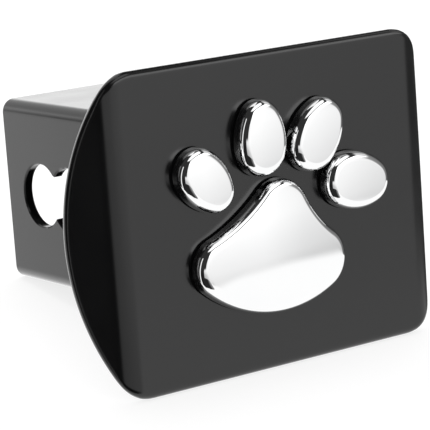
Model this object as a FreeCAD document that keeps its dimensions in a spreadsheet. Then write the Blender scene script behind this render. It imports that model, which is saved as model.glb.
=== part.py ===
import FreeCAD, Part
import Sketcher
import math
import os

# A hitch receiver cover: a bent steel face plate with a square shank welded to its back,
# and a dog-paw emblem of five chromed pads on its front.
#
# Frame, in millimetres: +X to the right seen from the front, +Y to the rear, +Z up.
# The origin is on the shank's axis, in the plane of the plate's back face.

SIZES = {
    # Face plate. Its flat is in the middle, a flange is bent back on each side.
    "sheet": 2.5,
    "face_half_width": 45.8,
    "face_height": 81.2,
    "bend_inside_radius": 1.5,
    "bend_angle": 49.3,
    "flange_length": 12.9,
    "side_bow_depth": 14.9,
    "plate_corner_radius": 11.5,
    "plate_edge_round": 1.5,
    # Shank: a square tube that slides into a receiver for 2 in shanks.
    "tube_side": 50.0,
    "tube_wall": 2.5,
    "tube_length": 87.3,
    "tube_corner": 3.6,
    "tube_inner_corner": 1.1,
    "tube_end_bevel": 0.5,
    # Pin hole: two round lobes that run into each other along the tube.
    "pin_hole_radius": 8.65,
    "pin_hole_from_end": 17.1,
    "pin_hole_overlap": 3.6,
    "pin_neck_round": 0.8,
    "pin_edge_bevel": 0.4,
    # Weld beads where the tube meets the plate.
    "weld_leg": 4.0,
    "weld_bulge": 0.7,
    "weld_end_gap": 0.6,
    # Emblem pads, held by foam tape. Heights are measured from the plate's front face.
    "foam_thickness": 0.8,
    "foam_inset": 0.9,
    "rim_round": 2.2,
    "toe_height": 4.9,
    "toe_flank_radius": 14.5,
    "palm_height": 5.2,
    "palm_x": -4.0,
    "palm_z": -10.0,
    "palm_top_x": 3.34,
    "palm_top_z": 10.31,
    "palm_top_radius": 8.2,
    "palm_left_x": -16.23,
    "palm_left_z": -1.05,
    "palm_left_radius": 7.7,
    "palm_right_x": 13.89,
    "palm_right_z": -3.95,
    "palm_right_radius": 8.8,
    "palm_left_flank": 51.3,
    "palm_right_flank": 27.7,
    "palm_belly": 35.4,
}

# Each toe pad is an egg: place of its middle, clockwise turn of its small end from
# straight up, radii of its big and small ends, and the distance between their centres.
TOES = {
    "outer_left_toe": {"x": -22.8, "z": 10.8, "turn": 138.4, "big": 6.8, "small": 5.7, "span": 6.3},
    "inner_left_toe": {"x": -5.3, "z": 19.9, "turn": 0.0, "big": 7.1, "small": 6.0, "span": 6.5},
    "inner_right_toe": {"x": 12.4, "z": 18.2, "turn": 34.8, "big": 7.1, "small": 6.1, "span": 6.8},
    "outer_right_toe": {"x": 24.2, "z": 4.0, "turn": 99.9, "big": 7.2, "small": 6.4, "span": 6.9},
}

# Room that a cutting outline keeps outside the material, so that it cuts right through.
CUT_MARGIN = 10.0

# Three bevels touch a round of unit radius where they are set back by these two lengths.
MIDDLE_BEVEL_RATIO = 2 - math.sqrt(2)
SIDE_BEVEL_RATIO = math.tan(math.pi / 8) - math.tan(math.pi / 16)

# Most of a wall that a round or bevel on its edge may take.
EDGE_RATIO = 0.62

# Smallest part of a unit normal, and smallest length in mm, that counts as more than none.
NORMAL_RATIO = 0.01
SAME_PLACE = 1e-4

CONVEX, CONCAVE = 1, -1
START, END, CENTRE = 1, 2, 3
ORIGIN = (-1, 1)
SKETCH_NORMAL = FreeCAD.Vector(0, 0, 1)
ACROSS_PLATE = FreeCAD.Vector(0, 1, 0)

doc = FreeCAD.newDocument("hitch_receiver_cover")


# Sizes sheet

class Size:
    """A number together with the formula that takes it from the sheet."""

    def __init__(self, value, formula):
        self.value = value
        self.formula = formula

    def __add__(self, other):
        return Size(self.value + other.value, "(%s + %s)" % (self.formula, other.formula))

    def __sub__(self, other):
        return Size(self.value - other.value, "(%s - %s)" % (self.formula, other.formula))

    def __mul__(self, other):
        return Size(self.value * other.value, "(%s * %s)" % (self.formula, other.formula))

    def __truediv__(self, other):
        return Size(self.value / other.value, "(%s / %s)" % (self.formula, other.formula))

    def __neg__(self):
        return Size(-self.value, "(-%s)" % self.formula)

    def half(self):
        return Size(self.value / 2, "(%s / 2)" % self.formula)

    def root(self):
        return Size(math.sqrt(self.value), "sqrt(%s)" % self.formula)

    def at_most(self, limit):
        return Size(min(self.value, limit.value), "min(%s; %s)" % (self.formula, limit.formula))

    def sine(self):
        return Size(math.sin(math.radians(self.value)), "sin(%s)" % self.formula)

    def cosine(self):
        return Size(math.cos(math.radians(self.value)), "cos(%s)" % self.formula)


sheet = doc.addObject("Spreadsheet::Sheet", "Sizes")
for toe, egg in TOES.items():
    for part_of_egg, number in egg.items():
        SIZES[toe + "_" + part_of_egg] = number
for row, (alias, number) in enumerate(SIZES.items(), start=1):
    sheet.set("A%d" % row, alias.replace("_", " "))
    sheet.set("B%d" % row, str(number))
    sheet.setAlias("B%d" % row, alias)
doc.recompute()


def size(alias):
    return Size(float(getattr(sheet, alias)), "Sizes." + alias)


def fixed(number):
    return Size(float(number), str(float(number)))


def bind(thing, prop, amount):
    thing.setExpression(prop, amount.formula)


NOTHING = fixed(0)


def bow_radius(half_chord, depth):
    """Radius of the arc that bows by a depth over a chord."""
    return (half_chord * half_chord + depth * depth) / (depth + depth)


# Bodies and sketches

def new_body(label):
    body = doc.addObject("PartDesign::Body", label)
    body.Label = label
    return body


def origin_plane(body, role):
    return next(item for item in body.Origin.OriginFeatures if item.Role == role)


def new_sketch(body, role, name):
    sketch = body.newObject("Sketcher::SketchObject", name)
    sketch.AttachmentSupport = (origin_plane(body, role), [""])
    sketch.MapMode = "FlatFace"
    return sketch


def line(sketch, start, end):
    return sketch.addGeometry(Part.LineSegment(FreeCAD.Vector(*start, 0), FreeCAD.Vector(*end, 0)), False)


def arc(sketch, centre, radius, first_angle, last_angle):
    """Arc drawn counterclockwise between two directions, in radians."""
    if last_angle < first_angle:
        last_angle += 2 * math.pi
    circle = Part.Circle(FreeCAD.Vector(*centre, 0), SKETCH_NORMAL, radius)
    return sketch.addGeometry(Part.ArcOfCircle(circle, first_angle, last_angle), False)


def constrain(sketch, kind, *places):
    return sketch.addConstraint(Sketcher.Constraint(kind, *places))


def dimension(sketch, kind, places, amount):
    index = sketch.addConstraint(Sketcher.Constraint(kind, *places, amount.value))
    bind(sketch, "Constraints[%d]" % index, amount)


def put_at(sketch, place, x, z):
    """Dimensions a point's two distances from the sketch's origin."""
    dimension(sketch, "DistanceX", ORIGIN + place, x)
    dimension(sketch, "DistanceY", ORIGIN + place, z)


# Outlines made of rounds joined by blends
#
# A round is an arc with a given centre and radius. A blend is an arc of a given radius
# that touches the rounds before and after it. The rounds go counterclockwise.

def blend_centre(first, second, radius, bulge):
    """Centre of the arc that touches two rounds: inside them if convex, outside if concave."""
    (x1, y1, r1), (x2, y2, r2) = first, second
    reach1 = radius - bulge * r1
    reach2 = radius - bulge * r2
    span = math.hypot(x2 - x1, y2 - y1)
    along = (reach1 ** 2 - reach2 ** 2 + span ** 2) / (2 * span)
    across = bulge * math.sqrt(reach1 ** 2 - along ** 2)
    ux, uy = (x2 - x1) / span, (y2 - y1) / span
    return x1 + ux * along - uy * across, y1 + uy * along + ux * across


def joint_normal(first, second):
    """Outward direction where two touching arcs meet, each given as centre, radius and bulge."""
    (x1, y1), r1, bulge1 = first
    (x2, y2), r2, bulge2 = second
    gap = bulge2 * r2 - bulge1 * r1
    return (x1 - x2) / gap, (y1 - y2) / gap


def rounds_and_blends(sketch, rounds, blends):
    """Closed outline of rounds (x, z, radius) with a blend (radius, bulge) after each."""
    chain = []
    for index, (x, z, radius) in enumerate(rounds):
        after = rounds[(index + 1) % len(rounds)]
        blend_radius, bulge = blends[index]
        here = (x.value, z.value, radius.value)
        there = tuple(amount.value for amount in after)
        chain.append(((x.value, z.value), radius.value, CONVEX))
        chain.append((blend_centre(here, there, blend_radius.value, bulge), blend_radius.value, bulge))

    drawn = []
    for index, (centre, radius, bulge) in enumerate(chain):
        before = joint_normal(chain[index - 1], chain[index])
        after = joint_normal(chain[index], chain[(index + 1) % len(chain)])
        ends = [math.atan2(bulge * ny, bulge * nx) for nx, ny in (before, after)]
        if bulge == CONVEX:
            drawn.append((arc(sketch, centre, radius, ends[0], ends[1]), START, END))
        else:
            drawn.append((arc(sketch, centre, radius, ends[1], ends[0]), END, START))

    for index, (curve, head, tail) in enumerate(drawn):
        following, next_head, next_tail = drawn[(index + 1) % len(drawn)]
        constrain(sketch, "Tangent", curve, tail, following, next_head)
    for index, (x, z, radius) in enumerate(rounds):
        curve = drawn[2 * index][0]
        dimension(sketch, "Radius", (curve,), radius)
        put_at(sketch, (curve, CENTRE), x, z)
        blend_radius, bulge = blends[index]
        dimension(sketch, "Radius", (drawn[2 * index + 1][0],), blend_radius)


def square_with_round_corners(sketch, half, radius):
    """Square centred on the origin, of four sides and four corner arcs."""
    far, near = half.value, half.value - radius.value
    sides = []
    corners = []
    for turn in range(4):
        angle = turn * math.pi / 2
        cos_turn, sin_turn = round(math.cos(angle)), round(math.sin(angle))

        def turned(x, z):
            return cos_turn * x - sin_turn * z, sin_turn * x + cos_turn * z

        sides.append(line(sketch, turned(far, -near), turned(far, near)))
        corners.append(arc(sketch, turned(near, near), radius.value, angle, angle + math.pi / 2))
    for turn in range(4):
        constrain(sketch, "Tangent", sides[turn], END, corners[turn], START)
        constrain(sketch, "Tangent", corners[turn], END, sides[(turn + 1) % 4], START)
        constrain(sketch, "Vertical" if turn % 2 == 0 else "Horizontal", sides[turn])
        dimension(sketch, "Radius", (corners[turn],), radius)
    dimension(sketch, "DistanceX", ORIGIN + (sides[0], START), half)
    dimension(sketch, "DistanceY", ORIGIN + (sides[1], START), half)
    dimension(sketch, "DistanceX", ORIGIN + (sides[2], START), -half)
    dimension(sketch, "DistanceY", ORIGIN + (sides[3], START), -half)


# Features

def pad(body, sketch, name, length, both_ways=False, backward=False):
    feature = body.newObject("PartDesign::Pad", name)
    feature.Profile = sketch
    if both_ways:
        feature.SideType = "Symmetric"
    feature.Reversed = backward
    bind(feature, "Length", length)
    doc.recompute()
    return feature


def pocket_through(body, sketch, name):
    feature = body.newObject("PartDesign::Pocket", name)
    feature.Profile = sketch
    feature.Type = "ThroughAll"
    feature.SideType = "Symmetric"
    before = body.Shape.Volume
    doc.recompute()
    if not body.Shape.Volume < before:
        raise RuntimeError(name + " cuts nothing")
    return feature


def edges_where(shape, wanted):
    return ["Edge%d" % (index + 1) for index, edge in enumerate(shape.Edges) if wanted(edge)]


def bevel_edges(body, name, wanted, setback):
    """Bevels the edges of the body's last feature that the test picks."""
    base = body.Tip
    feature = body.newObject("PartDesign::Chamfer", name)
    feature.Base = (base, edges_where(base.Shape, wanted))
    bind(feature, "Size", setback)
    doc.recompute()
    return feature


def round_edges(body, name, wanted, radius):
    """Rounds edges by three bevels that touch the round, so that a curved rim stays light."""
    before = body.Tip.Shape.Solids[0]
    middle = bevel_edges(body, name + "_middle", wanted, radius * fixed(MIDDLE_BEVEL_RATIO))
    shape = middle.Shape

    def is_bevel(face):
        u_low, u_high, v_low, v_high = face.ParameterRange
        return before.isInside(face.valueAt((u_low + u_high) / 2, (v_low + v_high) / 2), SAME_PLACE, False)

    def borders_bevel(edge):
        bevels = [is_bevel(face) for face in shape.ancestorsOfType(edge, Part.Face)]
        return any(bevels) and not all(bevels)

    bevel_edges(body, name + "_sides", borders_bevel, radius * fixed(SIDE_BEVEL_RATIO))


def lies_on(edge, axis, place):
    """Whether a whole edge is in the plane where one coordinate has the given value."""
    low = getattr(edge.BoundBox, axis + "Min")
    high = getattr(edge.BoundBox, axis + "Max")
    return abs(low - place) < SAME_PLACE and abs(high - place) < SAME_PLACE


# Face plate
#
# Section seen from above: flat, bends and flanges of one sheet. The flanges' ends are then
# cut square to the flange along a bow that runs into the round corners of the plate.

def bent_section(body):
    sketch = new_sketch(body, "XY_Plane", "plate_section")
    thick, flat = size("sheet"), size("face_half_width")
    outside = size("bend_inside_radius") + thick
    angle, length = size("bend_angle"), size("flange_length")
    beta = math.radians(angle.value)
    along = (math.cos(beta), math.sin(beta))
    outward = (math.sin(beta), -math.cos(beta))
    inside = size("bend_inside_radius").value
    centre = (flat.value, inside)

    front = line(sketch, (-flat.value, -thick.value), (flat.value, -thick.value))
    back = line(sketch, (flat.value, 0), (-flat.value, 0))
    constrain(sketch, "Horizontal", front)
    constrain(sketch, "Horizontal", back)
    dimension(sketch, "DistanceY", ORIGIN + (back, START), NOTHING)
    put_at(sketch, (front, START), -flat, -thick)
    dimension(sketch, "DistanceX", ORIGIN + (front, END), flat)

    for side in (1, -1):
        def place(radius, run):
            x = centre[0] + outward[0] * radius + along[0] * run
            y = centre[1] + outward[1] * radius + along[1] * run
            return side * x, y

        down = -math.pi / 2
        turned = down + beta
        if side > 0:
            outer = arc(sketch, centre, outside.value, down, turned)
            inner = arc(sketch, centre, inside, down, turned)
            near, far = START, END
        else:
            outer = arc(sketch, (-centre[0], centre[1]), outside.value, down - beta, down)
            inner = arc(sketch, (-centre[0], centre[1]), inside, down - beta, down)
            near, far = END, START
        run = length.value
        outer_line = line(sketch, place(outside.value, 0), place(outside.value, run))
        end_line = line(sketch, place(outside.value, run), place(inside, run))
        inner_line = line(sketch, place(inside, run), place(inside, 0))
        constrain(sketch, "Tangent", front, END if side > 0 else START, outer, near)
        constrain(sketch, "Tangent", outer, far, outer_line, START)
        constrain(sketch, "Coincident", outer_line, END, end_line, START)
        constrain(sketch, "Coincident", end_line, END, inner_line, START)
        constrain(sketch, "Tangent", inner_line, END, inner, far)
        constrain(sketch, "Tangent", inner, near, back, START if side > 0 else END)
        constrain(sketch, "Coincident", inner, CENTRE, outer, CENTRE)
        constrain(sketch, "Perpendicular", outer_line, end_line)
        constrain(sketch, "Parallel", outer_line, inner_line)
        dimension(sketch, "Radius", (outer,), outside)
        dimension(sketch, "Distance", (outer_line,), length)
        dimension(sketch, "DistanceY", (outer_line, START, outer_line, END), length * angle.sine())
    return sketch


def flange_end_outline(body):
    """What is cut away past the flange: outside the bow and the two corner arcs."""
    sketch = new_sketch(body, "XZ_Plane", "flange_end")
    flat, inside = size("face_half_width"), size("bend_inside_radius")
    outside = inside + size("sheet")
    bend, length = size("bend_angle"), size("flange_length")
    half, corner = size("face_height").half(), size("plate_corner_radius")
    bow = bow_radius(half, size("side_bow_depth"))
    margin = fixed(CUT_MARGIN)

    # The sketch lies on the flange's front face, with its origin where the bend ends.
    tilt = FreeCAD.Rotation(ACROSS_PLATE, bend.value)
    sketch.AttachmentOffset = FreeCAD.Placement(FreeCAD.Vector(), tilt)
    bind(sketch, "AttachmentOffset.Base.x", flat + outside * bend.sine())
    bind(sketch, "AttachmentOffset.Base.z", outside * bend.cosine() - inside)
    bind(sketch, "AttachmentOffset.Rotation.Angle", bend)

    bow_x = length.value - bow.value
    corner_z = half.value - corner.value
    corner_x = bow_x + math.sqrt((bow.value - corner.value) ** 2 - corner_z ** 2)
    meet = math.atan2(corner_z, corner_x - bow_x)
    bow_arc = arc(sketch, (bow_x, 0), bow.value, -meet, meet)
    upper = arc(sketch, (corner_x, corner_z), corner.value, meet, math.pi / 2)
    lower = arc(sketch, (corner_x, -corner_z), corner.value, -math.pi / 2, -meet)
    right_x = length.value + margin.value
    top_z = half.value + margin.value
    up_line = line(sketch, (corner_x, half.value), (corner_x, top_z))
    top_line = line(sketch, (corner_x, top_z), (right_x, top_z))
    right_line = line(sketch, (right_x, top_z), (right_x, -top_z))
    bottom_line = line(sketch, (right_x, -top_z), (corner_x, -top_z))
    down_line = line(sketch, (corner_x, -top_z), (corner_x, -half.value))

    constrain(sketch, "Tangent", bow_arc, END, upper, START)
    constrain(sketch, "Tangent", lower, END, bow_arc, START)
    constrain(sketch, "Coincident", upper, END, up_line, START)
    constrain(sketch, "Coincident", up_line, END, top_line, START)
    constrain(sketch, "Coincident", top_line, END, right_line, START)
    constrain(sketch, "Coincident", right_line, END, bottom_line, START)
    constrain(sketch, "Coincident", bottom_line, END, down_line, START)
    constrain(sketch, "Coincident", down_line, END, lower, START)
    for vertical in (up_line, right_line, down_line):
        constrain(sketch, "Vertical", vertical)
    for horizontal in (top_line, bottom_line):
        constrain(sketch, "Horizontal", horizontal)
    dimension(sketch, "Radius", (bow_arc,), bow)
    dimension(sketch, "Radius", (upper,), corner)
    dimension(sketch, "Radius", (lower,), corner)
    put_at(sketch, (bow_arc, CENTRE), length - bow, NOTHING)
    constrain(sketch, "Vertical", upper, END, upper, CENTRE)
    constrain(sketch, "Vertical", lower, START, lower, CENTRE)
    dimension(sketch, "DistanceY", ORIGIN + (upper, END), half)
    dimension(sketch, "DistanceY", ORIGIN + (lower, START), -half)
    put_at(sketch, (right_line, START), length + margin, half + margin)
    dimension(sketch, "DistanceY", ORIGIN + (right_line, END), -(half + margin))
    return sketch


def faces_front(face):
    """Whether a face belongs to the plate's front skin: flat, bends or flanges."""
    u_low, u_high, v_low, v_high = face.ParameterRange
    normal = face.normalAt((u_low + u_high) / 2, (v_low + v_high) / 2)
    return normal.y < -NORMAL_RATIO and abs(normal.z) < NORMAL_RATIO


def make_face_plate():
    body = new_body("face_plate")
    pad(body, bent_section(body), "bent_sheet", size("face_height"), both_ways=True)
    cut = pocket_through(body, flange_end_outline(body), "flange_end_cut")
    other = body.newObject("PartDesign::Mirrored", "other_flange_end_cut")
    other.Originals = [cut]
    other.MirrorPlane = (origin_plane(body, "YZ_Plane"), [""])
    body.Tip = other
    doc.recompute()

    shape = other.Shape

    def on_front_outline(edge):
        skins = [faces_front(face) for face in shape.ancestorsOfType(edge, Part.Face)]
        return sum(skins) == 1

    most = size("sheet") * fixed(EDGE_RATIO)
    round_edges(body, "front_edge_round", on_front_outline, size("plate_edge_round").at_most(most))
    return body


# Receiver tube
#
# A square tube from the plate's back face to its open end, with the double-lobed pin hole
# through both side walls.

def make_receiver_tube():
    body = new_body("receiver_tube")
    half, wall, corner = size("tube_side").half(), size("tube_wall"), size("tube_corner")
    length = size("tube_length")

    sketch = new_sketch(body, "XZ_Plane", "tube_section")
    square_with_round_corners(sketch, half, corner)
    square_with_round_corners(sketch, half - wall, size("tube_inner_corner"))
    pad(body, sketch, "tube", length, backward=True)

    sketch = new_sketch(body, "YZ_Plane", "pin_hole_outline")
    radius, neck = size("pin_hole_radius"), size("pin_neck_round")
    rear = length - size("pin_hole_from_end")
    front = rear - radius - radius + size("pin_hole_overlap")
    rounds_and_blends(sketch, [(rear, NOTHING, radius), (front, NOTHING, radius)], [(neck, CONCAVE)] * 2)
    pocket_through(body, sketch, "pin_hole")

    def pin_hole_rim(edge):
        on_wall = lies_on(edge, "X", half.value) or lies_on(edge, "X", -half.value)
        return on_wall and isinstance(edge.Curve, Part.Circle)

    def outer_end_rim(edge):
        box = edge.BoundBox
        reach = max(abs(box.XMin), abs(box.XMax), abs(box.ZMin), abs(box.ZMax))
        on_end = lies_on(edge, "Y", length.value)
        return on_end and reach > half.value - wall.value / 2

    most = wall * fixed(EDGE_RATIO)
    bevel_edges(body, "pin_hole_bevel", pin_hole_rim, size("pin_edge_bevel").at_most(most))
    bevel_edges(body, "open_end_bevel", outer_end_rim, size("tube_end_bevel").at_most(most))
    return body


# Weld beads
#
# Each bead fills the corner between a tube side and the plate's back along the flat run of
# that side. It is drawn for the top side and turned about the tube's axis for the others.

def make_weld_bead(label, turn):
    body = new_body(label)
    half, leg, bulge = size("tube_side").half(), size("weld_leg"), size("weld_bulge")
    run = size("tube_side") - size("tube_corner") - size("tube_corner") - size("weld_end_gap")

    # Bulging face: an arc over the chord between the two toes of the bead.
    half_chord = (leg * leg / fixed(2)).root()
    radius = bow_radius(half_chord, bulge)
    back_off = (radius.value - bulge.value) / math.sqrt(2)
    centre = (leg.value / 2 - back_off, half.value + leg.value / 2 - back_off)
    spread = math.asin(half_chord.value / radius.value)
    sketch = new_sketch(body, "YZ_Plane", label + "_section")
    base = line(sketch, (0, half.value), (leg.value, half.value))
    face = arc(sketch, centre, radius.value, math.pi / 4 - spread, math.pi / 4 + spread)
    rise = line(sketch, (0, half.value + leg.value), (0, half.value))
    constrain(sketch, "Coincident", base, END, face, START)
    constrain(sketch, "Coincident", face, END, rise, START)
    constrain(sketch, "Coincident", rise, END, base, START)
    put_at(sketch, (base, START), NOTHING, half)
    put_at(sketch, (base, END), leg, half)
    put_at(sketch, (rise, START), NOTHING, half + leg)
    dimension(sketch, "Radius", (face,), radius)
    pad(body, sketch, label + "_run", run, both_ways=True)
    body.Placement = FreeCAD.Placement(FreeCAD.Vector(), FreeCAD.Rotation(ACROSS_PLATE, turn))
    return body


# Emblem pads
#
# A pad stands on its foam in front of the plate. Its own frame has its origin in the foam's
# front face. The wall follows the outline and the rim round the top is rounded.

def place_on_plate(body, x, z, lift, turn):
    """Puts a pad or its foam at its place on the plate, turned clockwise seen from the front."""
    body.Placement = FreeCAD.Placement(FreeCAD.Vector(), FreeCAD.Rotation(ACROSS_PLATE, turn.value))
    bind(body, "Placement.Base.x", x)
    bind(body, "Placement.Base.y", -(size("sheet") + lift))
    bind(body, "Placement.Base.z", z)
    bind(body, "Placement.Rotation.Angle", turn)


def make_pad(label, outline, height, place):
    body = new_body(label)
    own_height = height - size("foam_thickness")
    sketch = new_sketch(body, "XZ_Plane", label + "_outline")
    rounds_and_blends(sketch, *outline(NOTHING))
    pad(body, sketch, label + "_block", own_height)

    def on_top_rim(edge):
        return lies_on(edge, "Y", -own_height.value)

    most = own_height * fixed(EDGE_RATIO)
    round_edges(body, label + "_rim", on_top_rim, size("rim_round").at_most(most))
    place_on_plate(body, place[0], place[1], size("foam_thickness"), place[2])
    return body


def make_foam(label, outline, place):
    body = new_body(label)
    sketch = new_sketch(body, "XZ_Plane", label + "_outline")
    rounds_and_blends(sketch, *outline(size("foam_inset")))
    pad(body, sketch, label + "_sheet", size("foam_thickness"))
    place_on_plate(body, place[0], place[1], NOTHING, place[2])
    return body


def toe_outline(toe):
    """Rounds and blends of one toe, for an inset."""
    def outline(inset):
        half_span = size(toe + "_span").half()
        big = (NOTHING, -half_span, size(toe + "_big") - inset)
        small = (NOTHING, half_span, size(toe + "_small") - inset)
        flank = (size("toe_flank_radius") - inset, CONVEX)
        return [big, small], [flank, flank]
    return outline


def palm_outline(inset):
    rounds = []
    for spot in ("top", "left", "right"):
        name = "palm_" + spot
        rounds.append((size(name + "_x"), size(name + "_z"), size(name + "_radius") - inset))
    left_flank = (size("palm_left_flank") + inset, CONCAVE)
    belly = (size("palm_belly") - inset, CONVEX)
    right_flank = (size("palm_right_flank") + inset, CONCAVE)
    return rounds, [left_flank, belly, right_flank]


# Assembly

bodies = [make_face_plate(), make_receiver_tube()]
for side, turn in (("top", 0), ("right", 90), ("bottom", 180), ("left", 270)):
    bodies.append(make_weld_bead("weld_bead_" + side, turn))
for toe in TOES:
    toe_place = (size(toe + "_x"), size(toe + "_z"), size(toe + "_turn"))
    bodies.append(make_pad(toe, toe_outline(toe), size("toe_height"), toe_place))
    bodies.append(make_foam(toe + "_foam", toe_outline(toe), toe_place))
palm_place = (size("palm_x"), size("palm_z"), NOTHING)
bodies.append(make_pad("palm_pad", palm_outline, size("palm_height"), palm_place))
bodies.append(make_foam("palm_foam", palm_outline, palm_place))
doc.recompute()

for thing in doc.Objects:
    if "Invalid" in thing.State or "Error" in thing.State:
        raise RuntimeError("%s failed: %s" % (thing.Name, thing.State))
for body in bodies:
    if body.Shape.isNull() or not body.Shape.isValid() or len(body.Shape.Solids) != 1:
        raise RuntimeError(body.Label + " is not one sound solid")

os.makedirs("parts", exist_ok=True)
for body in bodies:
    body.Shape.exportStep(os.path.join("parts", body.Label + ".step"))
    box = body.Shape.optimalBoundingBox(False)
    print("%-22s %9.1f mm3  X %6.1f..%6.1f  Y %6.1f..%6.1f  Z %6.1f..%6.1f" % (
        body.Label, body.Shape.Volume, box.XMin, box.XMax, box.YMin, box.YMax, box.ZMin, box.ZMax))
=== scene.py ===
# %% [markdown]
# # A hitch receiver cover
#
# The object is a black steel plate that hides the square opening of a car's hitch receiver.
# A square tube is welded to its back, and a dog's paw of five chromed pads sits on its front.
# This lesson dresses the measured model of it: it loads the solids, makes finer skins for the
# pieces that the camera sees best, gives every surface a finish, and lights the whole.

# %% Load the measured model
import functools
import math

import bpy
import bmesh
from mathutils import Matrix, Vector


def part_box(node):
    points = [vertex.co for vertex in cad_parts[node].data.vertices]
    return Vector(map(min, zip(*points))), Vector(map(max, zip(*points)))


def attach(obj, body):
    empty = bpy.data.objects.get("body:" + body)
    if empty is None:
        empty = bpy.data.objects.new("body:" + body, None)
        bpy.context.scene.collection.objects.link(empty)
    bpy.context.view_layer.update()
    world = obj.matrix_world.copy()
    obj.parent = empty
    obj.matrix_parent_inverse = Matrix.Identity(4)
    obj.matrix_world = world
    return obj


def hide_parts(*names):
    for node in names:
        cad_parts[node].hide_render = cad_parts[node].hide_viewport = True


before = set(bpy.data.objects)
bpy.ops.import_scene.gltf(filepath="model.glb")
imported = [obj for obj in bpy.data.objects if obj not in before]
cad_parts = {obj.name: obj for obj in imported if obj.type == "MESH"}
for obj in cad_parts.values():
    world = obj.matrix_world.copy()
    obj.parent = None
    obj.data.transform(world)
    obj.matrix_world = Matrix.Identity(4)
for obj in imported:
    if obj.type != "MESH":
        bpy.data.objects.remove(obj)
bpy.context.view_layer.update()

MM = 0.001


# %% [markdown]
# ## Small helpers for nodes
#
# Both shapes and finishes are built from nodes here. A node is added with its settings in one
# call, and one more call makes a sum, a product or a comparison from numbers and sockets.

# %% Helpers for nodes


def add_node(tree, kind, **settings):
    node = tree.nodes.new(kind)
    for name, value in settings.items():
        setattr(node, name, value)
    return node


def feed(tree, socket, value):
    """Links a socket to another one, or gives it a plain value."""
    if isinstance(value, bpy.types.NodeSocket):
        tree.links.new(value, socket)
    else:
        socket.default_value = value


def calc(tree, operation, *values):
    node = add_node(tree, "ShaderNodeMath", operation=operation)
    for socket, value in zip(node.inputs, values):
        feed(tree, socket, value)
    return node.outputs[0]


def arithmetic(tree):
    """Plus, minus, times and divided by, for one tree."""
    kinds = ("ADD", "SUBTRACT", "MULTIPLY", "DIVIDE")
    return [functools.partial(calc, tree, kind) for kind in kinds]


def ramp(tree, value, low, high, at_low=0.0, at_high=1.0):
    """A soft step from one level to another while the value goes from low to high."""
    node = add_node(tree, "ShaderNodeMapRange", interpolation_type="SMOOTHSTEP")
    for socket, number in zip(node.inputs, (value, low, high, at_low, at_high)):
        feed(tree, socket, number)
    return node.outputs[0]


# %% [markdown]
# ## Black powder coat
#
# The plate, the tube and the welds wear one semi-gloss black coat. On the real thing it is
# almost a mirror with a little blur. What gives it away as paint is a faint orange-peel
# relief and a gloss that isn't quite even. Both come from noise on object coordinates, so
# they stay put on the steel from any side.

# %% Building blocks of a finish


def object_noise(tree, scale, detail):
    place = add_node(tree, "ShaderNodeTexCoord")
    noise = add_node(tree, "ShaderNodeTexNoise")
    tree.links.new(place.outputs["Object"], noise.inputs["Vector"])
    noise.inputs["Scale"].default_value = scale
    noise.inputs["Detail"].default_value = detail
    return noise.outputs["Fac"]


def two_tone(tree, factor, dark, light):
    mix = add_node(tree, "ShaderNodeMix", data_type="RGBA")
    tree.links.new(factor, mix.inputs["Factor"])
    mix.inputs["A"].default_value = (*dark, 1.0)
    mix.inputs["B"].default_value = (*light, 1.0)
    return mix.outputs["Result"]


def relief(tree, height, strength, distance):
    bump = add_node(tree, "ShaderNodeBump")
    tree.links.new(height, bump.inputs["Height"])
    bump.inputs["Strength"].default_value = strength
    bump.inputs["Distance"].default_value = distance
    return bump.outputs["Normal"]


def new_finish(name):
    material = bpy.data.materials.new(name)
    material.use_nodes = True
    return material, material.node_tree, material.node_tree.nodes["Principled BSDF"]


# %% Black powder coat
NOISE_SPAN = (0.3, 0.7)  # a noise hardly ever leaves this span
FINE_RELIEF = 0.02 * MM
COAT_DARK = (0.0036, 0.0036, 0.0038)
COAT_LIGHT = (0.0052, 0.0052, 0.0055)
COAT_ROUGHNESS = (0.17, 0.21)
COAT_IOR = 1.55


def powder_coat(name, peel_scale, peel_strength):
    material, tree, shader = new_finish(name)
    cloud = object_noise(tree, scale=55.0, detail=3.0)
    peel = object_noise(tree, peel_scale, detail=2.0)
    gloss = ramp(tree, cloud, *NOISE_SPAN, *COAT_ROUGHNESS)
    feed(tree, shader.inputs["Base Color"], two_tone(tree, cloud, COAT_DARK, COAT_LIGHT))
    feed(tree, shader.inputs["Roughness"], gloss)
    feed(tree, shader.inputs["Normal"], relief(tree, peel, peel_strength, FINE_RELIEF))
    shader.inputs["IOR"].default_value = COAT_IOR
    return material


black_coat = powder_coat("black powder coat", peel_scale=1300.0, peel_strength=0.05)
weld_coat = powder_coat("black coat on weld", peel_scale=2600.0, peel_strength=0.25)
print("made", black_coat.name, "and", weld_coat.name)

# %% [markdown]
# ## Chrome and foam tape
#
# The pads are moulded and chromed: a mirror with hardly any blur, whose gloss changes a
# little over each pad. The tape under them is dark foam with open cells at its cut edge.

# %% Chrome
CHROME_DARK = (0.90, 0.905, 0.91)
CHROME_LIGHT = (0.94, 0.94, 0.94)
CHROME_ROUGHNESS = (0.025, 0.045)
SWELL_STRENGTH = 0.10


def chrome_plating():
    material, tree, shader = new_finish("bright chrome")
    cloud = object_noise(tree, scale=90.0, detail=2.0)
    swell = object_noise(tree, scale=70.0, detail=1.0)
    gloss = ramp(tree, cloud, *NOISE_SPAN, *CHROME_ROUGHNESS)
    feed(tree, shader.inputs["Base Color"], two_tone(tree, cloud, CHROME_DARK, CHROME_LIGHT))
    feed(tree, shader.inputs["Roughness"], gloss)
    feed(tree, shader.inputs["Normal"], relief(tree, swell, SWELL_STRENGTH, FINE_RELIEF))
    shader.inputs["Metallic"].default_value = 1.0
    return material


chrome = chrome_plating()
print("made", chrome.name)

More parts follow.
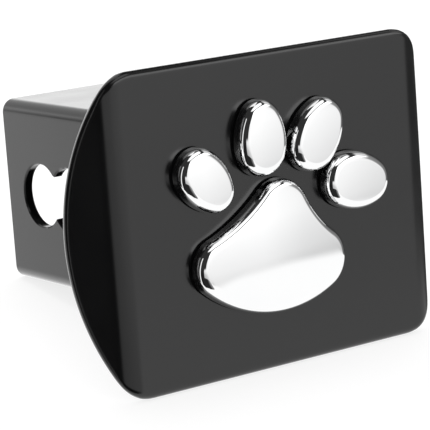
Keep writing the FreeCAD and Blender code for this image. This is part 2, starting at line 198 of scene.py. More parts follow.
# %% Foam tape
FOAM_DARK = (0.008, 0.008, 0.009)
FOAM_LIGHT = (0.03, 0.03, 0.031)
CELLS_PER_METRE = 5200.0
CELL_STRENGTH, CELL_DEPTH = 0.6, 0.05 * MM
FOAM_ROUGHNESS = 0.9


def foam_tape():
    material, tree, shader = new_finish("dark foam tape")
    place = add_node(tree, "ShaderNodeTexCoord")
    cells = add_node(tree, "ShaderNodeTexVoronoi")
    tree.links.new(place.outputs["Object"], cells.inputs["Vector"])
    cells.inputs["Scale"].default_value = CELLS_PER_METRE
    from_middle = cells.outputs["Distance"]
    feed(tree, shader.inputs["Base Color"], two_tone(tree, from_middle, FOAM_DARK, FOAM_LIGHT))
    feed(tree, shader.inputs["Normal"], relief(tree, from_middle, CELL_STRENGTH, CELL_DEPTH))
    shader.inputs["Roughness"].default_value = FOAM_ROUGHNESS
    return material


foam = foam_tape()
print("made", foam.name)

# %% [markdown]
# ## From lists of points to a finished piece
#
# A skin made by rule starts as lists of points and faces. The helper turns them into a mesh,
# lets it look smooth except where two faces meet at a marked angle, and points its faces out.
# A finished piece rides on the one body there is, and the solids it replaces are hidden.

# %% Helpers for pieces


def mesh_piece(name, points, faces, material):
    mesh = bpy.data.meshes.new(name)
    mesh.from_pydata([tuple(v * MM for v in point) for point in points], [], faces)
    mesh.materials.append(material)
    piece = bpy.data.objects.new(name, mesh)
    bpy.context.scene.collection.objects.link(piece)
    return piece


def point_outwards(piece):
    work = bmesh.new()
    work.from_mesh(piece.data)
    bmesh.ops.recalc_face_normals(work, faces=work.faces)
    work.to_mesh(piece.data)
    work.free()


def smooth_below(piece, degrees):
    for face in piece.data.polygons:
        face.use_smooth = True
    piece.data.set_sharp_from_angle(angle=math.radians(degrees))


def finish_piece(piece, slot, *nodes):
    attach(piece, "root")
    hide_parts(*nodes)
    print(piece.name, "stands for", nodes, "with", len(piece.data.polygons), "faces")


# %% [markdown]
# ## The face plate, part one: a flat blank
#
# The real plate is cut flat, its edge is rounded, and then a flange is bent back along each
# side. The blank is made the same way: straight top and bottom, round corners that run into
# a bowed end on each side. Every point of the outline has a mate with the same x below, so
# the front can be filled with upright strips, which bend later without a crease.

# %% The plate's measures in mm
SHEET = 2.5
FLAT_HALF = 43.97
BEND_INSIDE = 5.5
BEND_ANGLE = math.radians(49.3)
FLANGE = 11.07
HALF_HEIGHT = 40.6
BOW_DEPTH = 14.6
CORNER = 13.3
FRONT_ROUND = 1.8
BACK_ROUND = 0.3
SUPPORT = 0.25  # a narrow ring inside each round, which keeps the flat faces' shading flat

BEND_OUTSIDE = BEND_INSIDE + SHEET
BLANK_HALF = FLAT_HALF + BEND_OUTSIDE * BEND_ANGLE + FLANGE
print("blank half length", round(BLANK_HALF, 2), "mm")

# %% The blank's outline and edge
BOW_STEPS, CORNER_STEPS = 40, 48
BACK_STEPS, FRONT_STEPS = 4, 12


def upper_right_outline():
    """Points and outward normals from the tip of the right end to the end of the corner."""
    bow = (HALF_HEIGHT ** 2 + BOW_DEPTH ** 2) / (2 * BOW_DEPTH)
    bow_x = BLANK_HALF - bow
    corner_z = HALF_HEIGHT - CORNER
    corner_x = bow_x + math.sqrt((bow - CORNER) ** 2 - corner_z ** 2)
    meet = math.atan2(corner_z, corner_x - bow_x)
    points = []
    for step in range(BOW_STEPS):
        angle = meet * step / BOW_STEPS
        nx, nz = math.cos(angle), math.sin(angle)
        points.append((bow_x + bow * nx, bow * nz, nx, nz))
    for step in range(CORNER_STEPS + 1):
        angle = meet + (math.pi / 2 - meet) * step / CORNER_STEPS
        nx, nz = math.cos(angle), math.sin(angle)
        points.append((corner_x + CORNER * nx, corner_z + CORNER * nz, nx, nz))
    return points


def whole_outline():
    quarter = upper_right_outline()
    upper_left = [(-x, z, -nx, nz) for x, z, nx, nz in reversed(quarter)]
    upper = quarter + upper_left
    lower = [(x, -z, nx, -nz) for x, z, nx, nz in reversed(upper[1:-1])]
    return upper + lower


def quarter_round(steps):
    """Sine and cosine of each step of a quarter turn."""
    angles = [math.pi / 2 * step / steps for step in range(steps + 1)]
    return [(math.sin(angle), math.cos(angle)) for angle in angles]


def rim_levels():
    """How far each ring lies inside the outline and behind the front, from back to front."""
    levels = [(BACK_ROUND + SUPPORT, SHEET), (BACK_ROUND, SHEET)]
    for sine, cosine in quarter_round(BACK_STEPS)[1:]:
        levels.append((BACK_ROUND * (1 - sine), SHEET - BACK_ROUND * (1 - cosine)))
    for sine, cosine in quarter_round(FRONT_STEPS):
        levels.append((FRONT_ROUND * (1 - cosine), FRONT_ROUND * (1 - sine)))
    levels.append((FRONT_ROUND + SUPPORT, 0.0))
    return levels


print("outline of", len(whole_outline()), "points in", len(rim_levels()), "rings")

# %% Cut the flat blank


def flat_blank():
    outline = whole_outline()
    count = len(outline)
    levels = rim_levels()
    points = []
    for inset, depth in levels:
        points += [(x - nx * inset, depth - SHEET, z - nz * inset) for x, z, nx, nz in outline]
    faces = []
    for ring in range(len(levels) - 1):
        for i in range(count):
            j = (i + 1) % count
            low, high = ring * count, (ring + 1) * count
            faces.append((low + i, low + j, high + j, high + i))
    for ring in (0, len(levels) - 1):
        start = ring * count
        for i in range(count // 2):
            strip = [i, i + 1, (count - i - 1) % count, (count - i) % count]
            faces.append([start + k for k in dict.fromkeys(strip)])
    return mesh_piece("plate", points, faces, black_coat)


plate = flat_blank()
point_outwards(plate)
print("blank has", len(plate.data.polygons), "faces")

# %% [markdown]
# ## The face plate, part two: bend it
#
# The shape of a bent sheet follows one rule, so Geometry Nodes can do the bending. A point
# within the flat stays. Past the bend line it turns about the bend's axis, at its own
# distance from it, and past the bend it runs on straight. The press's four numbers are the
# inputs of the tree.

# %% Helpers for shape trees


def new_shape_tree(name, inputs):
    """A shape tree with a geometry in and out, and named inputs with their kinds."""
    tree = bpy.data.node_groups.new(name, "GeometryNodeTree")
    for way in ("INPUT", "OUTPUT"):
        tree.interface.new_socket(
            name="Geometry", in_out=way, socket_type="NodeSocketGeometry")
    for label, kind in inputs:
        tree.interface.new_socket(name=label, in_out="INPUT", socket_type=kind)
    return tree, add_node(tree, "NodeGroupInput"), add_node(tree, "NodeGroupOutput")


def close_tree(tree, geometry, material, group_out):
    """Ends a tree the way the export needs it: real mesh, with its material set."""
    real = add_node(tree, "GeometryNodeRealizeInstances")
    painted = add_node(tree, "GeometryNodeSetMaterial")
    tree.links.new(geometry, real.inputs["Geometry"])
    tree.links.new(real.outputs["Geometry"], painted.inputs["Geometry"])
    tree.links.new(material, painted.inputs["Material"])
    tree.links.new(painted.outputs["Geometry"], group_out.inputs["Geometry"])


def apply_tree(piece, tree, values):
    """Runs a tree on a piece with the given inputs and keeps the result as a plain mesh."""
    modifier = piece.modifiers.new(tree.name, "NODES")
    modifier.node_group = tree
    for item in tree.interface.items_tree:
        if item.in_out == "INPUT" and item.name in values:
            modifier[item.identifier] = values[item.name]
    depsgraph = bpy.context.evaluated_depsgraph_get()
    evaluated = piece.evaluated_get(depsgraph)
    result = bpy.data.meshes.new_from_object(evaluated, depsgraph=depsgraph)
    piece.modifiers.remove(modifier)
    result.name = piece.name
    piece.data = result


# %% Bend the blank with Geometry Nodes


def bending_tree():
    tree, group_in, group_out = new_shape_tree("bend both sides of a blank", [
        ("Half Width Of Flat", "NodeSocketFloat"),
        ("Outside Bend Radius", "NodeSocketFloat"),
        ("Bend Angle", "NodeSocketFloat"),
        ("Sheet", "NodeSocketFloat"),
        ("Finish", "NodeSocketMaterial"),
    ])
    flat, radius, angle, sheet, finish = group_in.outputs[1:6]
    _, minus, times, over = arithmetic(tree)
    place = add_node(tree, "GeometryNodeInputPosition")
    split = add_node(tree, "ShaderNodeSeparateXYZ")
    tree.links.new(place.outputs[0], split.inputs[0])
    x, y, z = split.outputs

    reach = calc(tree, "ABSOLUTE", x)
    past = calc(tree, "MAXIMUM", minus(reach, flat), 0.0)
    bend_length = times(radius, angle)
    turned = over(calc(tree, "MINIMUM", past, bend_length), radius)
    run = calc(tree, "MAXIMUM", minus(past, bend_length), 0.0)
    own_radius = minus(minus(radius, y), sheet)
    sine = calc(tree, "SINE", turned)
    cosine = calc(tree, "COSINE", turned)

    kept = calc(tree, "MINIMUM", reach, flat)
    swung = calc(tree, "MULTIPLY_ADD", own_radius, sine, kept)
    out_x = calc(tree, "MULTIPLY_ADD", run, cosine, swung)
    back = minus(minus(radius, sheet), times(own_radius, cosine))
    out_y = calc(tree, "MULTIPLY_ADD", run, sine, back)
    signed_x = times(out_x, calc(tree, "SIGN", x))

    joined = add_node(tree, "ShaderNodeCombineXYZ")
    for socket, value in zip(joined.inputs, (signed_x, out_y, z)):
        tree.links.new(value, socket)
    moved = add_node(tree, "GeometryNodeSetPosition")
    tree.links.new(group_in.outputs["Geometry"], moved.inputs["Geometry"])
    tree.links.new(joined.outputs[0], moved.inputs["Position"])
    close_tree(tree, moved.outputs["Geometry"], finish, group_out)
    return tree


apply_tree(plate, bending_tree(), {
    "Half Width Of Flat": FLAT_HALF * MM,
    "Outside Bend Radius": BEND_OUTSIDE * MM,
    "Bend Angle": BEND_ANGLE,
    "Sheet": SHEET * MM,
    "Finish": black_coat,
})
smooth_below(plate, degrees=60)
finish_piece(plate, "black_paint", "face_plate")

# %% [markdown]
# ## The square tube
#
# The tube's solid already has the right shape, with its double pin hole. Its mesh is loose
# triangles, though, and its round corners would show facets in the gloss. A merged copy whose
# flat sides are whole faces again, with smooth shading in which the large faces outweigh the
# small ones, mirrors cleanly.

# %% A smooth copy of the tube
SAME_POINT = 0.002 * MM
SAME_PLANE = math.radians(0.3)


def smooth_copy(node_name, name, material, degrees):
    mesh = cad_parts[node_name].data.copy()
    mesh.name = name
    mesh.materials.clear()
    mesh.materials.append(material)
    work = bmesh.new()
    work.from_mesh(mesh)
    bmesh.ops.remove_doubles(work, verts=work.verts, dist=SAME_POINT)
    bmesh.ops.dissolve_limit(
        work, angle_limit=SAME_PLANE, verts=work.verts, edges=work.edges)
    work.to_mesh(mesh)
    work.free()
    piece = bpy.data.objects.new(name, mesh)
    bpy.context.scene.collection.objects.link(piece)
    smooth_below(piece, degrees)
    weigh = piece.modifiers.new("large faces first", "WEIGHTED_NORMAL")
    weigh.keep_sharp = True
    return piece


tube = smooth_copy("receiver_tube", "tube", black_coat, degrees=30)
finish_piece(tube, "black_paint", "receiver_tube")

# %% [markdown]
# ## Weld beads
#
# Each side of the tube is welded to the plate's back. A weld bead is a row of ripples that
# freeze one behind the other as the torch moves on. A flat grid is mapped onto the corner
# between the two surfaces: along it the bead is scalloped, across it it bulges, and at both
# ends it runs out to nothing, so that the skin closes. The grid has one row more on each side
# of the skin, which falls onto the corner's own line and closes the bead underneath.

# %% The bead's rows, ripples and ends
ALONG_POINTS = 260
SKIN_STEPS = 12
CLOSING_ROWS = 2
END_ROUND = 0.7  # length of the rounded end, in legs
RIPPLE_POWER = 0.7  # below one, the ripples' tops are broad and their valleys sharp
WANDER_SCALE = 180.0
CLOSED_BELOW = 0.004 * MM  # points nearer than this become one


def rows_round_corner(tree, across):
    """The angle of a row round the corner, and one on the skin's rows but none outside."""
    _, minus, times, over = arithmetic(tree)
    row = minus(times(across, SKIN_STEPS + CLOSING_ROWS), 1.0)
    held = calc(tree, "MINIMUM", calc(tree, "MAXIMUM", row, 0.0), SKIN_STEPS)
    after_first = calc(tree, "GREATER_THAN", row, -0.5)
    before_last = calc(tree, "LESS_THAN", row, SKIN_STEPS + 0.5)
    return times(over(held, SKIN_STEPS), math.pi / 2), times(after_first, before_last)


def ripples(tree, along, belly, pitch, height, seed):
    """Scallops along the bead, bent like crescents and a little uneven."""
    plus, minus, times, over = arithmetic(tree)
    wander = add_node(tree, "ShaderNodeTexNoise", noise_dimensions="2D")
    spot = add_node(tree, "ShaderNodeCombineXYZ")
    feed(tree, spot.inputs[0], along)
    feed(tree, spot.inputs[1], seed)
    tree.links.new(spot.outputs[0], wander.inputs["Vector"])
    wander.inputs["Scale"].default_value = WANDER_SCALE
    drift = times(minus(wander.outputs[0], 0.5), pitch)
    crescent = times(belly, pitch)
    phase = over(plus(plus(along, crescent), drift), pitch)
    wave = calc(tree, "ABSOLUTE", calc(tree, "SINE", times(phase, math.pi)))
    return times(calc(tree, "POWER", wave, RIPPLE_POWER), height)


def fullness_along(tree, along, run, leg):
    """One along the bead, and falling in a round to nothing at both ends."""
    _, minus, times, over = arithmetic(tree)
    to_end = minus(times(run, 0.5), calc(tree, "ABSOLUTE", along))
    near_end = calc(tree, "MINIMUM", over(to_end, times(leg, END_ROUND)), 1.0)
    left_over = minus(1.0, near_end)
    rest = calc(tree, "MAXIMUM", minus(1.0, times(left_over, left_over)), 0.0)
    return calc(tree, "SQRT", rest)


# %% The bead's tree


def bead_tree():
    tree, group_in, group_out = new_shape_tree("weld bead in a corner", [
        ("Run", "NodeSocketFloat"),
        ("Leg", "NodeSocketFloat"),
        ("Bulge", "NodeSocketFloat"),
        ("Ripple Pitch", "NodeSocketFloat"),
        ("Ripple Height", "NodeSocketFloat"),
        ("Seed", "NodeSocketFloat"),
        ("Finish", "NodeSocketMaterial"),
    ])
    run, leg, bulge, pitch, height, seed, finish = group_in.outputs[1:8]
    plus, _, times, over = arithmetic(tree)
    grid = add_node(tree, "GeometryNodeMeshGrid")
    grid.inputs["Size X"].default_value = 1.0
    grid.inputs["Size Y"].default_value = 1.0
    grid.inputs["Vertices X"].default_value = ALONG_POINTS
    grid.inputs["Vertices Y"].default_value = SKIN_STEPS + CLOSING_ROWS + 1
    place = add_node(tree, "GeometryNodeInputPosition")
    split = add_node(tree, "ShaderNodeSeparateXYZ")
    tree.links.new(place.outputs[0], split.inputs[0])

    along = times(split.outputs["X"], run)
    angle, on_skin = rows_round_corner(tree, plus(split.outputs["Y"], 0.5))
    sine = calc(tree, "SINE", angle)
    cosine = calc(tree, "COSINE", angle)
    chord = over(leg, plus(sine, cosine))
    belly = calc(tree, "SINE", times(angle, 2.0))
    scallop = ripples(tree, along, belly, pitch, height, seed)
    raised = times(belly, plus(bulge, scallop))
    fullness = fullness_along(tree, along, run, leg)
    reach = times(times(plus(chord, raised), fullness), on_skin)

    joined = add_node(tree, "ShaderNodeCombineXYZ")
    for socket, value in zip(joined.inputs, (along, times(reach, cosine), times(reach, sine))):
        feed(tree, socket, value)
    moved = add_node(tree, "GeometryNodeSetPosition")
    tree.links.new(grid.outputs["Mesh"], moved.inputs["Geometry"])
    tree.links.new(joined.outputs[0], moved.inputs["Position"])
    welded = add_node(tree, "GeometryNodeMergeByDistance")
    welded.inputs["Distance"].default_value = CLOSED_BELOW
    tree.links.new(moved.outputs["Geometry"], welded.inputs["Geometry"])
    close_tree(tree, welded.outputs["Geometry"], finish, group_out)
    return tree


bead_shape = bead_tree()
print("bead tree of", len(bead_shape.nodes), "nodes")

# %% Lay a bead along each side of the tube
TUBE_HALF = 25.0
BEAD = {
    "Run": 42.0 * MM,
    "Leg": 3.9 * MM,
    "Bulge": 0.3 * MM,
    "Ripple Pitch": 1.7 * MM,
    "Ripple Height": 0.32 * MM,
    "Finish": weld_coat,
}
on_top = Matrix.Translation((0, 0, TUBE_HALF * MM))
for number, side in enumerate(("top", "right", "bottom", "left")):
    bead = mesh_piece("bead_" + side, [], [], weld_coat)
    apply_tree(bead, bead_shape, {**BEAD, "Seed": 1.0 + number})
    bead.data.transform(Matrix.Rotation(math.pi / 2 * number, 4, "Y") @ on_top)
    point_outwards(bead)
    smooth_below(bead, degrees=60)
    finish_piece(bead, "weld_paint", "weld_bead_" + side)

# %% [markdown]
# ## Chromed pads: the outline
#
# A mirror shows every flaw of its surface, so a pad is laid out ring by ring. Its outline is
# a chain of arcs that touch, whose normals are known exactly. A list of rounds is given, and
# the arc that blends each round into the next is found from its radius: its centre lies
# where two circles about the rounds' centres cross.

# %% Outlines made of touching arcs
OUT, IN = 1, -1
FEWEST_POINTS = 6


def blend_centre(first, second, radius, bulge):
    (x1, z1, r1), (x2, z2, r2) = first, second
    reach1, reach2 = radius - bulge * r1, radius - bulge * r2
    span = math.hypot(x2 - x1, z2 - z1)
    along = (reach1 ** 2 - reach2 ** 2 + span ** 2) / (2 * span)
    across = bulge * math.sqrt(reach1 ** 2 - along ** 2)
    ux, uz = (x2 - x1) / span, (z2 - z1) / span
    return x1 + ux * along - uz * across, z1 + uz * along + ux * across


def arc_chain(rounds, blends):
    """Centre, radius and bulge of every arc of an outline, counterclockwise."""
    chain = []
    for index, (x, z, radius) in enumerate(rounds):
        blend_radius, bulge = blends[index]
        after = rounds[(index + 1) % len(rounds)]
        centre = blend_centre((x, z, radius), after, blend_radius, bulge)
        chain += [((x, z), radius, OUT), (centre, blend_radius, bulge)]
    return chain


def joint_angle(first, second):
    (x1, z1), r1, b1 = first
    (x2, z2), r2, b2 = second
    gap = b2 * r2 - b1 * r1
    return math.atan2((z1 - z2) / gap, (x1 - x2) / gap)


def outline_points(rounds, blends, step):
    """Points of the outline with their outward normals."""
    chain = arc_chain(rounds, blends)
    points = []
    for index, (centre, radius, bulge) in enumerate(chain):
        start = joint_angle(chain[index - 1], chain[index])
        end = joint_angle(chain[index], chain[(index + 1) % len(chain)])
        sweep = bulge * ((bulge * (end - start)) % (2 * math.pi))
        count = max(FEWEST_POINTS, math.ceil(radius * abs(sweep) / step))
        for k in range(count):
            angle = start + sweep * k / count
            nx, nz = math.cos(angle), math.sin(angle)
            reach = bulge * radius
            points.append((centre[0] + reach * nx, centre[1] + reach * nz, nx, nz))
    return points


# %% [markdown]
# ## Chromed pads: wall, rim and crown
#
# The wall leans in by a few degrees, as a moulded part's does to leave its mould. The rim
# rolls over in two rounds that touch, a wide one above the wall and a tighter one at the top,
# so that the room's lights run along it as thin bright lines. From there rings of falling size
# carry on over a faint crown, which bends the mirrored table edge a little.

# %% The rim's profile
DRAFT = math.radians(4.0)
OUTER_RIM = 2.9
INNER_RIM = 1.7
RIM_CHANGE = math.radians(50.0)
RIM_STEPS = 22


def rim_profile(height):
    """How far each ring lies inside the foot and below the top, from the wall to the top."""
    lean = [DRAFT + (math.pi / 2 - DRAFT) * step / RIM_STEPS for step in range(RIM_STEPS + 1)]
    across, up = 0.0, 0.0
    spots = [(across, up)]
    for start, end in zip(lean, lean[1:]):
        radius = OUTER_RIM if (start + end) / 2 < RIM_CHANGE else INNER_RIM
        across += radius * (math.cos(start) - math.cos(end))
        up += radius * (math.sin(end) - math.sin(start))
        spots.append((across, up))
    at_wall = (height - up) * math.tan(DRAFT)
    return [(at_wall + inset, up - reached) for inset, reached in spots]


print("rim in", RIM_STEPS, "steps, wall leaning", round(math.degrees(DRAFT), 1), "degrees")


# %% Pads laid out in rings
PAD_BACK = -3.3
CROWN = 300.0
CROWN_RINGS = 20


def pad_rings(outline, centre, front):
    """Rings of points from the pad's foot over its rim to its middle, and the middle."""
    cx, cz = centre

    def top(x, z):
        return front + ((x - cx) ** 2 + (z - cz) ** 2) / (2 * CROWN)

    rings = [[(x, PAD_BACK, z) for x, z, nx, nz in outline]]
    for inset, drop in rim_profile(PAD_BACK - front):
        inner = [(x - nx * inset, z - nz * inset) for x, z, nx, nz in outline]
        rings.append([(x, top(x, z) + drop, z) for x, z in inner])
    edge = rings[-1]
    for step in range(1, CROWN_RINGS):
        share = 1 - step / CROWN_RINGS
        spots = [(cx + (x - cx) * share, cz + (z - cz) * share) for x, y, z in edge]
        rings.append([(x, top(x, z), z) for x, z in spots])
    return rings, (cx, top(cx, cz), cz)


def pad_piece(name, outline, centre, place, turn, front):
    """A pad whose outline is turned clockwise and moved to its place on the plate."""
    rings, middle = pad_rings(outline, centre, front)
    count = len(outline)
    points = [point for ring in rings for point in ring] + [middle]
    faces = [list(range(count))]
    for ring in range(len(rings) - 1):
        low, high = ring * count, (ring + 1) * count
        for i in range(count):
            j = (i + 1) % count
            faces.append((low + i, low + j, high + j, high + i))
    last, tip = (len(rings) - 1) * count, len(points) - 1
    faces += [(last + i, last + (i + 1) % count, tip) for i in range(count)]

    cosine, sine = math.cos(math.radians(turn)), math.sin(math.radians(turn))
    placed = [(place[0] + x * cosine + z * sine, y, place[1] - x * sine + z * cosine)
              for x, y, z in points]
    piece = mesh_piece(name, placed, faces, chrome)
    point_outwards(piece)
    smooth_below(piece, degrees=50)
    return piece


# %% Four toes
TOE_FRONT = -7.4
TOE_STEP = 0.25
TOE_SIDES = [(14.5, OUT), (14.5, OUT)]
# Place across and up, turn in degrees, big and small round, and the span between the rounds.
TOES = {
    "outer_left_toe": (-22.8, 10.8, 138.4, 6.8, 5.7, 6.3),
    "inner_left_toe": (-5.3, 19.9, 0.0, 7.1, 6.0, 6.5),
    "inner_right_toe": (12.4, 18.2, 34.8, 7.1, 6.1, 6.8),
    "outer_right_toe": (24.2, 4.0, 99.9, 7.2, 6.4, 6.9),
}
for toe, (x, z, turn, big, small, span) in TOES.items():
    rounds = [(0.0, -span / 2, big), (0.0, span / 2, small)]
    egg = outline_points(rounds, TOE_SIDES, TOE_STEP)
    piece = pad_piece("pad_" + toe, egg, (0.0, 0.0), (x, z), turn, TOE_FRONT)
    finish_piece(piece, "chrome", toe)

# %% The palm
PALM_FRONT = -7.7
PALM_STEP = 0.3
PALM_MIDDLE = (0.0, -2.0)
PALM_PLACE = (-4.0, -10.0)
PALM_ROUNDS = [(3.34, 10.31, 8.2), (-16.23, -1.05, 7.7), (13.89, -3.95, 8.8)]
PALM_BLENDS = [(51.3, IN), (35.4, OUT), (27.7, IN)]
palm_outline = outline_points(PALM_ROUNDS, PALM_BLENDS, PALM_STEP)
palm = pad_piece("pad_palm", palm_outline, PALM_MIDDLE, PALM_PLACE, 0.0, PALM_FRONT)
finish_piece(palm, "chrome", "palm_pad")

# %% Foam tape on its solids
for name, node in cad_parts.items():
    if name.endswith("_foam"):
        node.data.materials.clear()
        node.data.materials.append(foam)
        print(name, "wears", foam.name)

# %% [markdown]
# ## Floor
#
# The cover leans back a little on the table: it stands on the plate's lower edge and on the
# end of its tube. The floor is laid through those two edges. It is plain white, and seen
# directly it glows just enough to meet the white background, so only the soft shadow of the
# object tells where it is. From below it is clear, so that it hides nothing.

# %% White table
TABLE_WHITE = (0.85, 0.85, 0.85, 1.0)
SEEN_GREY = (0.30, 0.30, 0.30, 1.0)
SEEN_GLOW = 0.80


def floor_material():
    material = bpy.data.materials.new("white table")
    material.use_nodes = True
    tree = material.node_tree
    tree.nodes.clear()
    output = add_node(tree, "ShaderNodeOutputMaterial")
    path = add_node(tree, "ShaderNodeLightPath")
    surface = add_node(tree, "ShaderNodeNewGeometry")
    plain = add_node(tree, "ShaderNodeBsdfDiffuse")
    plain.inputs["Color"].default_value = TABLE_WHITE
    shaded = add_node(tree, "ShaderNodeBsdfDiffuse")
    shaded.inputs["Color"].default_value = SEEN_GREY
    glow = add_node(tree, "ShaderNodeEmission")
    glow.inputs["Strength"].default_value = SEEN_GLOW
    seen = add_node(tree, "ShaderNodeAddShader")
    tree.links.new(shaded.outputs[0], seen.inputs[0])
    tree.links.new(glow.outputs[0], seen.inputs[1])
    by_ray = add_node(tree, "ShaderNodeMixShader")
    tree.links.new(path.outputs["Is Camera Ray"], by_ray.inputs["Fac"])
    tree.links.new(plain.outputs[0], by_ray.inputs[1])
    tree.links.new(seen.outputs[0], by_ray.inputs[2])
    clear = add_node(tree, "ShaderNodeBsdfTransparent")
    from_above = add_node(tree, "ShaderNodeMixShader")
    tree.links.new(surface.outputs["Backfacing"], from_above.inputs["Fac"])
    tree.links.new(by_ray.outputs[0], from_above.inputs[1])
    tree.links.new(clear.outputs[0], from_above.inputs[2])
    tree.links.new(from_above.outputs[0], output.inputs["Surface"])
    return material


white_table = floor_material()
print("made", white_table.name)

# %% Lay the floor under the object
plate_low, plate_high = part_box("face_plate")
tube_low, tube_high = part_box("receiver_tube")
rise = (tube_low.z - plate_low.z) / tube_high.y
lean = math.atan(rise)
UP = Vector((0.0, -math.sin(lean), math.cos(lean)))
BACK = Vector((0.0, math.cos(lean), math.sin(lean)))
GAP = 0.05 * MM
HALF_SIDE = 1500.0

quarters = ((-1, -1), (1, -1), (1, 1), (-1, 1))
floor_corners = [(HALF_SIDE * x, HALF_SIDE * y, 0.0) for x, y in quarters]
floor = mesh_piece("floor", floor_corners, [(0, 1, 2, 3)], white_table)
touch = Vector((0.0, 0.0, plate_low.z))
floor.data.transform(Matrix.Translation(touch - UP * GAP) @ Matrix.Rotation(lean, 4, "X"))
floor.visible_glossy = False
print("floor leans", round(math.degrees(lean), 2), "degrees")

# %% [markdown]
# ## Light
#
# Gloss and chrome show the room, not a lamp. The room is therefore drawn by direction, as
# two angles: the turn from straight ahead of the cover, positive to its right, and the
# height over the table. A white panel stands in front, brightest a little to the right, and
# under its left part a dark wedge parts it from the white table. A strong light hangs over it,
# with a dark gap at its left and above it, and then comes the white ceiling. Both sides are
# dark, with one lit strip on the left, and the white backdrop behind has one dark corner. To
# matt surfaces the whole room is one plain even light.

# %% The room's light, by turn and by height
# Light at table height all round, by turn in degrees.
AROUND = [
    (-180, 1.9), (-153, 1.9), (-147, 0.02), (-44, 0.02), (-39, 0.72), (-14, 0.80),
    (13, 0.93), (26, 1.0), (34, 1.0), (40, 0.85), (46, 0.78), (53, 0.38), (60, 0.20),
    (110, 0.12), (134, 0.05), (139, 0.05), (143, 1.75), (180, 1.9),
]
# How many times that light it is at a height in degrees.
BY_HEIGHT = [
    (-20, 0.55), (-10, 0.72), (-6, 0.78), (-4.8, 0.78), (-3.2, 0.94), (-2.5, 0.97),
    (1, 1.14), (10, 1.15), (20, 1.3), (26, 1.5),
]
MATT_LIGHT = 0.68
print("the panel's brightest turns:", [turn for turn, light in AROUND if light == 1.0])

# %% Edges of the panel and of the table
# Height of the front panel's lower edge, by turn.
PANEL_EDGE = [
    (-60, -16), (-39, -16), (-20, -13), (0, -9.5), (20, -6.8), (26, -4.4), (30, -9), (60, -30),
]
PANEL_BLUR = (-0.4, 0.4)
WEDGE_TURN = (-60, 30, 1)
WEDGE_FADE, WEDGE_LIGHT = (-12, 24), (0.02, 0.4)
# Height of the table's far edge, by turn.
TABLE_EDGE = [
    (-180, -4), (-150, -4), (-125, -14), (-105, -30), (-60, -54), (-20, -48), (0, -35),
    (10, -24), (15, -14), (20, -7), (24, -4.9), (30, -3.9), (37, -4.0), (45, -4.8), (60, -7),
    (85, -12), (110, -18), (134, -28), (150, -10), (180, -4),
]
TABLE_BLUR = (-0.3, 0.7)
TABLE_FADE, TABLE_LIGHT = (141, 156), (1.07, 1.75)
print("table edge from", len(TABLE_EDGE), "spots, panel edge from", len(PANEL_EDGE))

# %% Patches of the room
# A span is its low end, its high end and how soft they are. OPEN lies past every angle.
OPEN = 200
DARK = 0.03
IN_FRONT = (-145, 140, 3)
UPPER_BACKDROP, BACKDROP_LIGHT = ((145.5, OPEN, 4.5), (12, OPEN, 5)), 0.95
OVERHEAD = ((-40, 126, 2), (30, 49, 2.5))
OVERHEAD_FADE, OVERHEAD_LIGHT = (66, 80), (2.3, 0.7)
# Span by turn, span by height and light, each laid over the ones before.
PATCHES = {
    "dark gap left of the overhead light": ((-70, -13, 3), (6, 53, 3), DARK),
    "dark above the overhead light": (IN_FRONT, (50.5, OPEN, 2.5), DARK),
    "white ceiling": ((-62, 112, 4), (60, OPEN, 2), 1.2),
    "lit strip on the left": ((-83, -75, 1), (-44, 38, 1.5), 1.1),
    "dark corner of the backdrop": ((124, 152, 3), (13, 56, 3), DARK),
}
print("patches:", ", ".join(PATCHES))

# %% Draw levels by angle


def profile(tree, value, spots):
    """A level that runs in straight lines through a list of (angle, level) spots."""
    first, last = spots[0][0], spots[-1][0]
    share = calc(tree, "DIVIDE", calc(tree, "SUBTRACT", value, first), last - first)
    levels = [level for angle, level in spots]
    low, span = min(levels), max(levels) - min(levels)
    curve = add_node(tree, "ShaderNodeValToRGB")
    stops = curve.color_ramp.elements
    while len(stops) < len(spots):
        stops.new(0.5)
    for stop, (angle, level) in zip(stops, spots):
        stop.color = (*[(level - low) / span] * 3, 1.0)
    for stop, (angle, level) in zip(stops, spots):
        stop.position = (angle - first) / (last - first)
    feed(tree, curve.inputs[0], share)
    return calc(tree, "MULTIPLY_ADD", curve.outputs["Color"], span, low)


def paint(tree, level, mask, value):
    """Lays a patch of a given light over what is there."""
    change = calc(tree, "MULTIPLY", calc(tree, "SUBTRACT", value, level), mask)
    return calc(tree, "ADD", level, change)


def window(tree, value, low, high, soft):
    """One between two limits and none outside, with soft edges."""
    rising = ramp(tree, value, low - soft, low + soft)
    falling = ramp(tree, value, high - soft, high + soft, 1.0, 0.0)
    return calc(tree, "MULTIPLY", rising, falling)


def patch(tree, turn, height, by_turn, by_height):
    """One in a patch of the room and none outside it."""
    in_turn, in_height = window(tree, turn, *by_turn), window(tree, height, *by_height)
    return calc(tree, "MULTIPLY", in_turn, in_height)


# %% The room as a mirror sees it


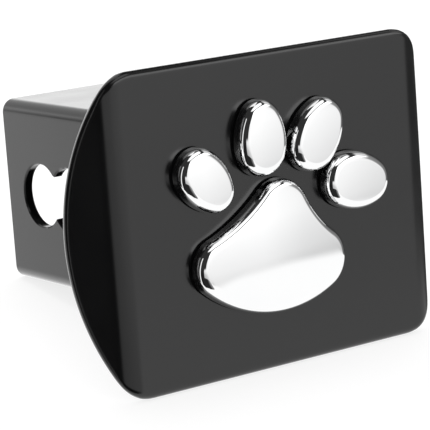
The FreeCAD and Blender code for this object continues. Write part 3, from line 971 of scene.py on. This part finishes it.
def room_light(tree, turn, height):
    """What a mirror would see of the room in a direction."""
    either_side = calc(tree, "ABSOLUTE", turn)
    around = profile(tree, turn, AROUND)
    risen = calc(tree, "MULTIPLY", around, profile(tree, height, BY_HEIGHT))
    level = paint(tree, around, window(tree, turn, *IN_FRONT), risen)

    under_panel = calc(tree, "SUBTRACT", profile(tree, turn, PANEL_EDGE), height)
    below = ramp(tree, under_panel, *PANEL_BLUR)
    wedge = calc(tree, "MULTIPLY", below, window(tree, turn, *WEDGE_TURN))
    level = paint(tree, level, wedge, ramp(tree, turn, *WEDGE_FADE, *WEDGE_LIGHT))

    backdrop = patch(tree, either_side, height, *UPPER_BACKDROP)
    level = paint(tree, level, backdrop, BACKDROP_LIGHT)
    overhead = patch(tree, turn, height, *OVERHEAD)
    level = paint(tree, level, overhead, ramp(tree, turn, *OVERHEAD_FADE, *OVERHEAD_LIGHT))
    for by_turn, by_height, light in PATCHES.values():
        level = paint(tree, level, patch(tree, turn, height, by_turn, by_height), light)

    under_edge = calc(tree, "SUBTRACT", profile(tree, turn, TABLE_EDGE), height)
    table = ramp(tree, either_side, *TABLE_FADE, *TABLE_LIGHT)
    return paint(tree, level, ramp(tree, under_edge, *TABLE_BLUR), table)


def studio_world():
    world = bpy.data.worlds.new("studio")
    world.use_nodes = True
    tree = world.node_tree
    tree.nodes.clear()
    output = add_node(tree, "ShaderNodeOutputWorld")
    background = add_node(tree, "ShaderNodeBackground")
    background.inputs["Color"].default_value = (1.0, 1.0, 1.0, 1.0)
    path = add_node(tree, "ShaderNodeLightPath")
    place = add_node(tree, "ShaderNodeTexCoord")

    def part_along(direction):
        dot = add_node(tree, "ShaderNodeVectorMath", operation="DOT_PRODUCT")
        tree.links.new(place.outputs["Generated"], dot.inputs[0])
        dot.inputs[1].default_value = direction
        return dot.outputs["Value"]

    def degrees(value):
        return calc(tree, "MULTIPLY", value, 180 / math.pi)

    turn = degrees(calc(tree, "ARCTAN2", part_along((1.0, 0.0, 0.0)), part_along(-BACK)))
    height = degrees(calc(tree, "ARCSINE", part_along(UP)))
    glossy, clear = path.outputs["Is Glossy Ray"], path.outputs["Is Transmission Ray"]
    mirrored = calc(tree, "MAXIMUM", glossy, clear)
    light = paint(tree, MATT_LIGHT, mirrored, room_light(tree, turn, height))
    light = paint(tree, light, path.outputs["Is Camera Ray"], 1.0)
    feed(tree, background.inputs["Strength"], light)
    tree.links.new(background.outputs[0], output.inputs["Surface"])
    return world


bpy.context.scene.world = studio_world()
bpy.context.scene.view_settings.view_transform = "Standard"
print("the room is drawn by", len(bpy.context.scene.world.node_tree.nodes), "nodes")

# %% [markdown]
# ## Softbox
#
# One soft lamp over the cover gives the matt surfaces and the table a soft shadow. Mirrors
# and the camera don't see it, because the room already holds every light that shows.

# %% Softbox
SOFTBOX_SIZE = (0.7, 0.5)
SOFTBOX_WATTS = 3.0
SOFTBOX_PLACE = Vector((0.12, 0.25, 0.75))

softbox = bpy.data.lights.new("softbox", "AREA")
softbox.shape = "RECTANGLE"
softbox.size, softbox.size_y = SOFTBOX_SIZE
softbox.energy = SOFTBOX_WATTS
softbox_object = bpy.data.objects.new("softbox", softbox)
bpy.context.scene.collection.objects.link(softbox_object)
softbox_object.location = SOFTBOX_PLACE
softbox_object.rotation_euler = (-SOFTBOX_PLACE).to_track_quat("-Z", "Y").to_euler()
softbox_object.visible_glossy = False
softbox_object.visible_camera = False
print("softbox at", [round(v, 2) for v in SOFTBOX_PLACE], "m,", softbox.energy, "W")

# %% [markdown]
# ## Camera
#
# The camera stands a little left of the cover and above it, with a long lens, as the
# photographer's did. Its place and lens come from lines of the plate and the tube that can
# be measured in the picture.

# %% Camera
FRAME_PIXELS = 430.0
FOCAL_PIXELS = 2383.48
SENSOR = 36.0
NEAR = 0.01
VIEW = Vector((0.5657, 0.8031, -0.1874)).normalized()
LEVEL_RIGHT = Vector((0.8075, -0.5855, -0.0713)).normalized()
EYE = Vector((-352.91, -476.11, 112.46)) * MM

camera_data = bpy.data.cameras.new("camera")
camera_data.sensor_width = SENSOR
camera_data.lens = FOCAL_PIXELS / FRAME_PIXELS * SENSOR
camera_data.clip_start = NEAR
camera = bpy.data.objects.new("camera", camera_data)
bpy.context.scene.collection.objects.link(camera)
across = (LEVEL_RIGHT - VIEW * LEVEL_RIGHT.dot(VIEW)).normalized()
upward = across.cross(VIEW)
facing = Matrix((across, upward, -VIEW)).transposed().to_4x4()
camera.matrix_world = Matrix.Translation(EYE) @ facing
bpy.context.scene.camera = camera
print("lens", round(camera_data.lens, 1), "mm, from", [round(v, 3) for v in EYE], "m")
